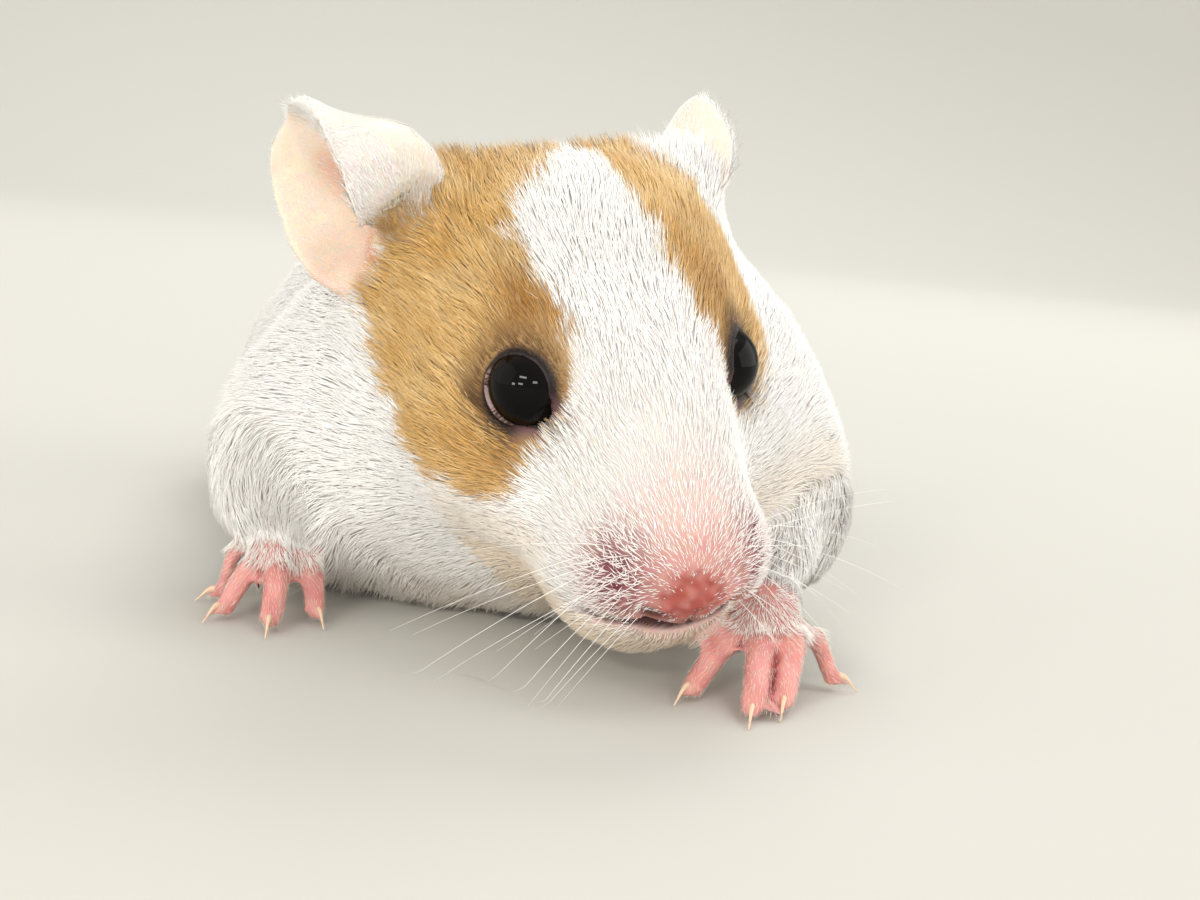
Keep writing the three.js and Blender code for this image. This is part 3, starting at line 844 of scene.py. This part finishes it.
# The lie of the coat.
def lieOfCoat():
    fromNose = head - np.array([0.0, -20.0, -9.6])
    fromNose[:, 2] -= 0.30 * np.abs(head[:, 0]) * ramp(head[:, 1], -8, 6)
    fromNose[:, 1] += 6 * ramp(head[:, 1], 2, 14)
    lie = unit(unit(fromNose) @ headAxes.T)
    p = surface.points
    side = (p[:, 0] - shift[0] - middle) / 25
    bodyLie = np.stack([0.25 * side, np.ones(len(p)), -0.5 * np.abs(side) - 0.2 * ramp(p[:, 1], 20, 45)], axis=1)
    lie = np.where(onHead[:, None], lie, unit(bodyLie))
    knuckles = {name: np.mean([toe[0] for toe in group], axis=0) + shift for name, group in toes.items()}
    for side in ("left", "right"):
        leg, ear = isLabel("foreleg_" + side), isLabel("ear_" + side)
        lie[leg] = unit(knuckles["forefoot_" + side] - p[leg] + [0, 0, -1.0])
        lie[ear] = unit(head[ear] - earPoses[side]["root"] + 6 * earAxes(side)[0]) @ headAxes.T
    for name, middleOfFoot in knuckles.items():
        here = isLabel(name)
        lie[here] = unit(p[here] - middleOfFoot - [0, 3.0, 1.5])
    lie[isLabel("hindleg")] = unit(np.array([0.0, 0.75, -0.55]))
    lie[onTail] = unit(np.array([0.0, 1.0, -0.15]))
    return surface.spread(lie, 14)


lie = lieOfCoat()

# Tufts: a bent three-sided spike, set at every root.
coatSettings = {
    "perPiece": 32000,
    "patch": 0.003,
    "lock": 6,  # tufts that lean together
    "pull": 0.22,
    "sink": 0.1,
    "swing": 9.0,  # degrees
    "belly": 0.36,  # where along a tuft it is thickest
}


def tuftPattern():
    # A three-sided spindle: pointed at the root, thickest low down, pointed at the tip.
    spindle = bmesh.new()
    belly = coatSettings["belly"]
    for low, high, first, last in ((0, belly, 0, 1), (belly, 1, 1, 0)):
        sizes = {"radius1": first, "radius2": last, "depth": high - low}
        made = bmesh.ops.create_cone(spindle, cap_ends=False, segments=3, **sizes)
        bmesh.ops.translate(spindle, vec=(0, 0, (low + high) / 2), verts=made["verts"])
    bmesh.ops.remove_doubles(spindle, verts=spindle.verts, dist=1e-4)
    bmesh.ops.recalc_face_normals(spindle, faces=spindle.faces)
    spindle.verts.index_update()
    points = np.array([v.co[:] for v in spindle.verts])
    faces = np.array([[v.index for v in f.verts] for f in spindle.faces])
    spindle.free()
    return points, faces


def scatterRoots():
    mesh = skin.data
    mesh.calc_loop_triangles()
    triangles = readAll(mesh.loop_triangles, "vertices", 3, np.int64)
    loops = readAll(mesh.loop_triangles, "loops", 3, np.int64)
    uv = readAll(mesh.uv_layers["OFBake"].data, "uv", 2)
    a, b, c = (surface.points[triangles[:, k]] for k in range(3))
    area = 0.5 * np.linalg.norm(np.cross(b - a, c - a), axis=1)
    bare = (lidEdge < 6.0 + 13.0 * lidCorner) | (padDistance < 1.1)
    bare |= (mouthGap > 0.14) | (nostrilDark > 0.4) | (underNose(head) > 0.5)
    density = np.where(bare, 0, coatMap[:, 3])
    density = density * (1 - 0.9 * fall(padDistance, 1.3, 3.0))
    density = density * np.where(surface.points[:, 2] < 0.35, 0.15, 1)
    expect = area * density[triangles].mean(axis=1)
    edge = np.cumsum(expect)
    count = int(edge[-1])
    marks = (np.arange(count) + rng.random(count)) / count * edge[-1]
    chosen = np.minimum(np.searchsorted(edge, marks), len(edge) - 1)
    r1, r2 = np.sqrt(rng.random(count)), rng.random(count)
    weights = np.stack([1 - r1, r1 * (1 - r2), r1 * r2], axis=1)

    def at(values):
        return (values[triangles[chosen]] * weights.reshape(count, 3, *([1] * (values.ndim - 1)))).sum(axis=1)

    rootUv = (uv[loops[chosen]] * weights[:, :, None]).sum(axis=1)
    nearestCorner = triangles[chosen, weights.argmax(axis=1)]
    return at, rootUv, nearestCorner, count


at, rootUv, rootVertex, rootCount = scatterRoots()
print("tufts", rootCount)


def earFluff(local):
    # Longer white hair in front of the left ear.
    return blob(local, (9.2, 13.2, 8.0), (2.6, 2.2, 3.4))


def growTufts():
    root = at(surface.points)
    up = unit(at(normals))
    flow = unit(at(lie))
    rise = (flow * up).sum(1)
    flow = unit(flow - rise[:, None] * up)
    depth, length, width, _ = at(coatMap).T
    local = toHead(root)
    pad, fluff = padShare(local), earFluff(local)
    swing = np.radians(coatSettings["swing"]) * rng.normal(size=rootCount) * (1 + 4.5 * pad)
    swing += np.radians(13) * ripple(root, 7.0, 0.3) + np.radians(9) * ripple(root, 2.6, 1.9)
    way = unit(np.cos(swing)[:, None] * flow + np.sin(swing)[:, None] * np.cross(up, flow))
    length = length * (0.72 + 0.56 * rng.random(rootCount)) * (1 + 0.1 * ripple(root, 3.7, 4.4))
    length = length * (1 - 0.65 * at(lipShare))
    facingEye = np.max([((eyeCentres[s] - root) * way).sum(1) for s in (1, -1)], axis=0) > 0
    length = np.where(facingEye, np.minimum(length, 0.1 + 0.026 * np.maximum(rootLid, 0)), length)
    length = length * (1 - 0.55 * ramp(np.abs(rise), 0.35, 0.85)) * (1 + 0.5 * fluff)
    crown = ramp(local[:, 1], 11.5, 13.5) * fall(local[:, 1], 16.5, 18.5) * rootGold
    height = depth * (0.8 + 0.25 * rng.random(rootCount)) + 0.08 + 0.6 * pad + crown + 0.9 * fluff
    height = np.minimum(height, 0.7 * length)
    tip = root + way * np.sqrt(length**2 - height**2)[:, None] + up * height[:, None]
    # locks: the tips of neighbours draw together
    seeds = rng.permutation(rootCount)[: rootCount // coatSettings["lock"]]
    tree = KDTree(len(seeds))
    for i, k in enumerate(seeds):
        tree.insert(root[k], i)
    tree.balance()
    owner = seeds[np.array([tree.find(p)[1] for p in root])]
    pull = coatSettings["pull"] * (0.5 + rng.random(rootCount))[:, None] * (1 - 0.8 * pad)[:, None]
    drawn = 0.65 * (tip[owner] - tip) + 0.35 * (root + tip[owner] - root[owner] - tip)
    tip = tip + pull * drawn
    stretch = lengths(tip - root) / length
    tip = root + (tip - root) / np.maximum(stretch, 1)[:, None]
    tip = np.clip(tip, np.array(cadBounds[0]) / mm - 1.0, np.array(cadBounds[1]) / mm + 1.0)
    start = root - up * coatSettings["sink"]
    mid = root + coatSettings["belly"] * (tip - root) + up * (0.14 * height)[:, None]
    return start, mid, tip, up, way, width, local


rootGold = at(goldShare)
rootLid = at(lidEdge)
rootOnHead = at(onHead * (head[:, 1] < 0))
start, mid, tip, up, way, width, rootLocal = growTufts()
print("tufts grown")

coatGroups = {
    "coatEarsFeet": ("ear", "forefoot", "hindfoot", "tail"),
    "coatHead": ("head", "nose", "eye", "lower_jaw"),
    "coatLegs": ("foreleg", "hindleg"),
    "coatNeck": ("neck",),
    "coatTrunk": ("trunk",),
}
groupOf = {name: group for group, starts in coatGroups.items() for name in labelNames if name.startswith(starts)}
patternPoints, patternFaces = tuftPattern()


def tuftTones(chosen, stage):
    local = rootLocal[chosen]
    count = len(chosen)
    share = rootGold[chosen] + 0.5 * (rng.random(count) - 0.5)
    share = ramp(share, 0.25, 0.75) * fall(earFluff(local), 0.25, 0.6)
    light = 0.45 + 0.35 * ripple(local, 4.5, 5.0) + 0.3 * rng.normal(size=count)
    tone = mix("gold", "goldLight", np.clip(light, 0, 1))
    tone = mix(tone, "goldDeep", deepShare(local) * (0.6 + 0.6 * rng.random(count)).clip(0, 1))
    tone = mix(tone, "dusky", np.clip(duskShare(local) * (0.55 + 0.9 * rng.random(count)), 0, 1))
    tone = mix(tone, "lash", 0.85 * fall(rootLid[chosen], 9, 24) * share)
    # Painted warm shade: a cream tint under the chin, low on the cheeks and near the floor, for warm light bounced
    # into the shade there.
    _, y, z = local.T
    chin = fall(z, -14.0, -11.5)
    cheek = 0.5 * fall(z, -10.5, -6.5) * ramp(y, -10.5, -6.5)
    low = 0.7 * fall(start[chosen, 2], 0.5, 8.0)
    warmShadeShare = np.maximum(np.maximum(chin, cheek) * rootOnHead[chosen], low)
    pale = mix(mix("white", "warmShade", np.clip(0.75 * warmShadeShare, 0, 1)), "padHair", 0.8 * padShare(local))
    tone = mix(pale, tone, share)
    change = 1 + (0.025 + 0.1 * share) * rng.normal(size=count)
    # Painted shade: each tuft is a little darker towards its root, deep in the coat.
    along = np.array([0.93, 0.98, 1.0])[stage]
    return tone[:, None] * along[None, :, None] * np.clip(change, 0.6, 1.2)[:, None, None]


def buildCoatPiece(name, chosen):
    s = patternPoints[:, 2]
    n, per = len(chosen), len(patternPoints)
    stage = np.searchsorted([0.1, 0.9], s)  # root, belly or tip
    line = np.stack([start[chosen], mid[chosen], tip[chosen]], axis=1)[:, stage]
    upward = up[chosen][:, None]
    sideways = unit(np.cross(up[chosen], way[chosen]))[:, None]
    radial = patternPoints[:, 0][None, :, None] * sideways + 0.6 * patternPoints[:, 1][None, :, None] * upward
    points = line + 0.5 * width[chosen][:, None, None] * radial
    points[:, :, 2] = np.maximum(points[:, :, 2], 0.03)
    corners = (patternFaces.ravel()[None, :] + per * np.arange(n)[:, None]).ravel()
    faceCount = n * len(patternFaces)
    mesh = bpy.data.meshes.new(name)
    mesh.vertices.add(n * per)
    mesh.vertices.foreach_set("co", (points * mm).ravel())
    mesh.loops.add(len(corners))
    mesh.loops.foreach_set("vertex_index", corners)
    mesh.polygons.add(faceCount)
    mesh.polygons.foreach_set("loop_start", np.arange(faceCount) * 3)
    mesh.update(calc_edges=True)
    mesh.shade_smooth()
    layer = mesh.uv_layers.new(name="OFBake")
    patch = np.stack([0.5 * patternPoints[:, 0], s - 0.5], axis=1) * coatSettings["patch"]
    corner = np.clip(rootUv[chosen][:, None] + patch[None], 0.0005, 0.9995).reshape(-1, 2)
    layer.data.foreach_set("uv", corner[corners].ravel())
    paint(mesh, "hairTone", tuftTones(chosen, stage).reshape(-1, 3))
    # Where a tuft is seen against the light, its shading follows its own sides; elsewhere it leans to the skin's.
    lean, turn = (0.15, 1.0) if "Ears" in name or "Legs" in name else (0.4, 0.7)
    soft = unit(lean * upward + turn * radial + 0.25 * (s[None, :, None] - 0.4) * way[chosen][:, None])
    mesh.normals_split_custom_set_from_vertices(soft.reshape(-1, 3))
    return addObject(name, mesh)


def buildCoat():
    group = np.array([groupOf[labelNames[i]] for i in labels[rootVertex]])
    pieces = []
    for name in sorted(set(groupOf.values())):
        members = np.where(group == name)[0]
        members = members[np.argsort(rootLocal[members, 1], kind="stable")]
        parts = max(1, math.ceil(len(members) / coatSettings["perPiece"]))
        for i, chosen in enumerate(np.array_split(members, parts)):
            pieces.append(buildCoatPiece(f"{name}_{i + 1}", chosen))
    return pieces


coatPieces = buildCoat()
print("coat pieces", len(coatPieces))


# Materials.
def addNode(tree, kind, settings=None, links=None):
    node = tree.nodes.new(kind)
    for key, value in (settings or {}).items():
        if isinstance(key, str) and hasattr(node, key) and key not in node.inputs:
            setattr(node, key, value)
        else:
            node.inputs[key].default_value = value
    for key, source in (links or {}).items():
        tree.links.new(source, node.inputs[key])
    return node


def newMaterial(name):
    material = bpy.data.materials.new(name)
    material.use_nodes = True
    tree = material.node_tree
    tree.nodes.clear()
    return material, tree


def addShader(tree, settings, links=None):
    shader = addNode(tree, "ShaderNodeBsdfPrincipled", settings, links)
    addNode(tree, "ShaderNodeOutputMaterial", links={"Surface": shader.outputs[0]})


def tonedMaterial(name, attribute, settings):
    material, tree = newMaterial(name)
    tone = addNode(tree, "ShaderNodeAttribute", {"attribute_name": attribute})
    addShader(tree, settings, {"Base Color": tone.outputs["Color"]})
    return material


def bareSkinMaterial():
    # Thin living skin: light scatters a little way in, with pores and creases about 0.25 mm apart.
    material, tree = newMaterial("livingSkin")
    place = addNode(tree, "ShaderNodeTexCoord").outputs["Object"]
    tone = addNode(tree, "ShaderNodeAttribute", {"attribute_name": "skinTone"})
    mottle = addNode(tree, "ShaderNodeTexNoise", {"Scale": 1100.0, "Detail": 3.0}, {"Vector": place})
    pores = addNode(tree, "ShaderNodeTexVoronoi", {"Scale": 4000.0}, {"Vector": place})
    blend = {"data_type": "RGBA", "blend_type": "MULTIPLY", 0: 0.25}
    vary = addNode(tree, "ShaderNodeMix", blend, {6: tone.outputs["Color"], 7: mottle.outputs["Color"]})
    pits = {"Strength": 0.25, "Distance": 0.00006}
    bump = addNode(tree, "ShaderNodeBump", pits, {"Height": pores.outputs["Distance"]})
    scatter = {"Subsurface Weight": 0.25, "Subsurface Scale": 0.0008, "Subsurface Radius": (1.0, 0.35, 0.25)}
    links = {"Base Color": vary.outputs[2], "Normal": bump.outputs["Normal"]}
    addShader(tree, {"Roughness": 0.5, "IOR": 1.4, **scatter}, links)
    return material


def hornMaterial():
    # Claw horn: pale, slightly translucent, with faint clouds.
    material, tree = newMaterial("clawHorn")
    place = addNode(tree, "ShaderNodeTexCoord").outputs["Object"]
    streak = addNode(tree, "ShaderNodeTexNoise", {"Scale": 2500.0, "Detail": 2.0}, {"Vector": place})
    tint = addNode(tree, "ShaderNodeValToRGB", links={"Fac": streak.outputs["Fac"]})
    for element, code in zip(tint.color_ramp.elements, ("#DDB598", "#EBD2B6")):
        element.color = (*linear(code), 1)
    settings = {"Roughness": 0.35, "IOR": 1.54, "Subsurface Weight": 0.2, "Subsurface Scale": 0.0004}
    addShader(tree, settings, {"Base Color": tint.outputs["Color"]})
    return material


# Keratin hair, matt, with a soft gleam along each lock at a glancing light.
hairGloss = {"Roughness": 0.62, "IOR": 1.55, "Sheen Weight": 0.15, "Sheen Roughness": 0.4, "Specular IOR Level": 0.3}
hairFinish = tonedMaterial("hamsterHair", "hairTone", hairGloss)
# A wet cornea over a dark iris and pupil, so that only reflections break the black.
tears = {"Coat Weight": 0.46, "Coat Roughness": 0.01, "Coat IOR": 1.36}
eyeFinish = tonedMaterial("wetCornea", "eyeTone", {"Roughness": 0.3, "Specular IOR Level": 0.0, **tears})
skinFinish = bareSkinMaterial()
hornFinish = hornMaterial()


def settle(piece, finish, replaced=()):
    piece.data.materials.clear()
    piece.data.materials.append(finish)
    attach(piece, "root")
    if replaced:
        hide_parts(*replaced)


# the skin goes to metres last
surface.points = surface.points * mm
skin.data.vertices.foreach_set("co", surface.points.ravel())
skin.data.shade_smooth()
skin.data.update()
settle(skin, skinFinish, fleshNodes)
for piece in coatPieces:
    settle(piece, hairFinish)


# Eyes.
def makeEye(s, name):
    ball = bmesh.new()
    bmesh.ops.create_uvsphere(ball, u_segments=56, v_segments=40, radius=eyeSettings["radius"])
    gaze, forward, across = eyeFrame(s)
    turn = Matrix((-s * across, -forward, gaze)).transposed()
    bmesh.ops.transform(ball, matrix=turn.to_4x4(), verts=ball.verts)
    mesh = meshOf(ball, name)
    local = readAll(mesh.vertices, "co", 3)
    irisWay = unit(sided(s, (0.70, -0.68, 0.24)))
    off = np.degrees(np.arccos(np.clip(unit(local) @ irisWay, -1, 1)))
    points = fromHead(local + toHead(eyeCentres[s])) * mm
    mesh.vertices.foreach_set("co", points.ravel())
    mesh.shade_smooth()
    mesh.update()
    paint(mesh, "eyeTone", mix("pupil", "iris", ramp(off, 40, 56)))
    settle(addObject(name, mesh), eyeFinish, ["eye_left" if s > 0 else "eye_right"])


makeEye(1, "eyeballLeft")
makeEye(-1, "eyeballRight")
print("eyes set")

# Claws.
clawSettings = {"length": 1.7, "thick": 0.36, "thin": 0.06, "sides": 10, "rings": 6}  # half widths, mm


def addStrand(whole, settings, place):
    # A tapered rod from 0 to 1, each point of which place(t, x, y) sets where it belongs.
    strand = bmesh.new()
    thick, thin, sides = (settings[k] for k in ("thick", "thin", "sides"))
    bmesh.ops.create_cone(strand, cap_ends=True, segments=sides, radius1=thick, radius2=thin, depth=1)
    lengthwise = [e for e in strand.edges if abs(e.verts[0].co.z - e.verts[1].co.z) > 0.5]
    bmesh.ops.subdivide_edges(strand, edges=lengthwise, cuts=settings["rings"])
    for v in strand.verts:
        v.co = Vector(place(v.co.z + 0.5, v.co.x, v.co.y)) * mm
    bmesh.ops.recalc_face_normals(strand, faces=strand.faces)
    addInto(whole, strand)


def finishStrands(whole, name, finish, tone=None):
    mesh = meshOf(whole, name)
    mesh.shade_smooth()
    if tone is not None:
        paint(mesh, "hairTone", np.tile(tone, (len(mesh.vertices), 1)))
    settle(addObject(name, mesh), finish)


def makeClaws(name, group):
    whole = bmesh.new()
    long = clawSettings["length"]
    for toe in group:
        _, tipAt, heading, toeWidth = toeLine(toe)
        begin = tipAt + heading * toeWidth * 0.3
        sideways = np.cross(heading, [0, 0, 1])

        def place(t, x, y):
            high = tipAt[2] + 0.25 + 0.2 * math.sin(math.pi * min(t * 1.3, 1)) - (tipAt[2] + 0.15) * t**1.8
            point = begin + heading * long * t + sideways * x * 0.7
            point[2] = max(high + y, 0.04)
            return point

        addStrand(whole, clawSettings, place)
    finishStrands(whole, name, hornFinish)


for nodeName, group in toes.items():
    side = nodeName.split("_")[1].capitalize()
    makeClaws(("foreClaws" if nodeName.startswith("fore") else "hindClaws") + side, group)
print("claws set")

# Whiskers: base on the pad and way out in the head's frame, length in mm.
whiskerSettings = {"thick": 0.025, "thin": 0.005, "sides": 5, "rings": 10}  # half widths, mm
whiskerRows = [
    {"count": 3, "z": -6.0, "lift": 0.12},
    {"count": 4, "z": -7.2, "lift": -0.2},
    {"count": 4, "z": -8.6, "lift": -0.6},
    {"count": 4, "z": -10.0, "lift": -1.0},
]


def makeWhiskers(s, name):
    whole = bmesh.new()
    tree = skinTree(surface.points / mm)
    loose = np.random.default_rng(7 if s > 0 else 8)
    for row in whiskerRows:
        for k in range(row["count"]):
            guess = sided(s, (3.6 + 0.7 * k, -15.3 + 0.95 * k, row["z"] + 0.12 * k))
            base = np.array(tree.find_nearest(Vector(fromHead(guess)))[0])
            out = sided(s, (0.86, -0.22 + 0.16 * k, row["lift"])) + 0.09 * loose.normal(size=3)
            out = unit(unit(out) @ headAxes.T)
            long = (8.8 + 2.3 * k) * (0.8 + 0.35 * loose.random())
            sag = unit(np.array([0.0, 0.6, -0.75])) * long * (0.14 + 0.14 * loose.random())
            sideways = unit(np.cross(out, [0.1, 0.2, 1.0]))
            other = np.cross(out, sideways)

            def place(t, x, y):
                point = base + out * (long * t - 0.3) + sag * t * t + sideways * x + other * y
                point[2] = max(point[2], 0.1)
                return point

            addStrand(whole, whiskerSettings, place)
    finishStrands(whole, name, hairFinish, tones["white"])


makeWhiskers(1, "whiskersLeft")
makeWhiskers(-1, "whiskersRight")
print("whiskers set")

# Floor, backdrop and light.
stageSettings = {"width": 6.0, "front": -3.0, "flat": 0.7, "curve": 0.6, "height": 3.0, "tone": "#C8C6BF"}


def addStage(settings):
    sweep = bmesh.new()
    profile = [(settings["front"], 0.0)]
    flat, curve = settings["flat"], settings["curve"]
    for i in range(13):
        turn = math.pi / 2 * i / 12
        profile.append((flat + curve * math.sin(turn), curve * (1 - math.cos(turn))))
    profile.append((profile[-1][0], settings["height"]))
    verts = [sweep.verts.new((-settings["width"] / 2, y, z)) for y, z in profile]
    edges = [sweep.edges.new(pair) for pair in zip(verts, verts[1:])]
    made = bmesh.ops.extrude_edge_only(sweep, edges=edges)
    moved = [g for g in made["geom"] if isinstance(g, bmesh.types.BMVert)]
    bmesh.ops.translate(sweep, vec=(settings["width"], 0, 0), verts=moved)
    bmesh.ops.recalc_face_normals(sweep, faces=sweep.faces)
    mesh = meshOf(sweep, "floor")
    mesh.shade_smooth()
    # Matt paper backdrop, the same all over.
    material, tree = newMaterial("mattPaper")
    addShader(tree, {"Roughness": 0.9, "Base Color": (*linear(settings["tone"]), 1)})
    mesh.materials.append(material)
    floor = addObject("floor", mesh)


def addLight(name, azimuth, height, far, size, power, tone):
    data = bpy.data.lights.new(name, "AREA")
    data.shape = "RECTANGLE"
    data.size, data.size_y = size
    data.energy = power
    data.color = linear(tone)
    back = outward(azimuth, height)
    aim = Vector((0, -0.03, 0.02))
    turned = back.to_track_quat("Z", "Y").to_matrix().to_4x4()
    addObject(name, data).matrix_world = Matrix.Translation(aim + back * far) @ turned


addStage(stageSettings)
# Soft boxes round the camera: azimuth and height in degrees, power in W, width and height in m.
softBoxes = [
    (-31.0, 27.0, 3.4, 0.40, 0.11),
    (5.0, 17.0, 2.2, 0.25, 0.12),
    (-54.0, 6.0, 1.5, 0.17, 0.11),
    (-34.0, 9.0, 2.0, 0.26, 0.09),
    (88.0, 15.0, 7.0, 1.60, 1.00),
    (-95.0, 20.0, 2.4, 1.60, 1.00),
    (75.0, 66.0, 2.2, 0.50, 0.50),
]
for i, (azimuth, height, power, wide, tall) in enumerate(softBoxes):
    addLight(f"softBox_{i + 1}", azimuth, height, 1.2, (wide, tall), power, "#FFFCF6")
addLight("rimLight", 165.0, 48.0, 1.0, (0.6, 0.4), 4.2, "#FFFFFF")
world = bpy.data.worlds.new("studio")
world.use_nodes = True
sky = world.node_tree.nodes["Background"].inputs
sky["Color"].default_value = (*linear("#F2F2F0"), 1)
sky["Strength"].default_value = 0.9
scene.world = world
scene.view_settings.view_transform = "Standard"
print("stage lit")
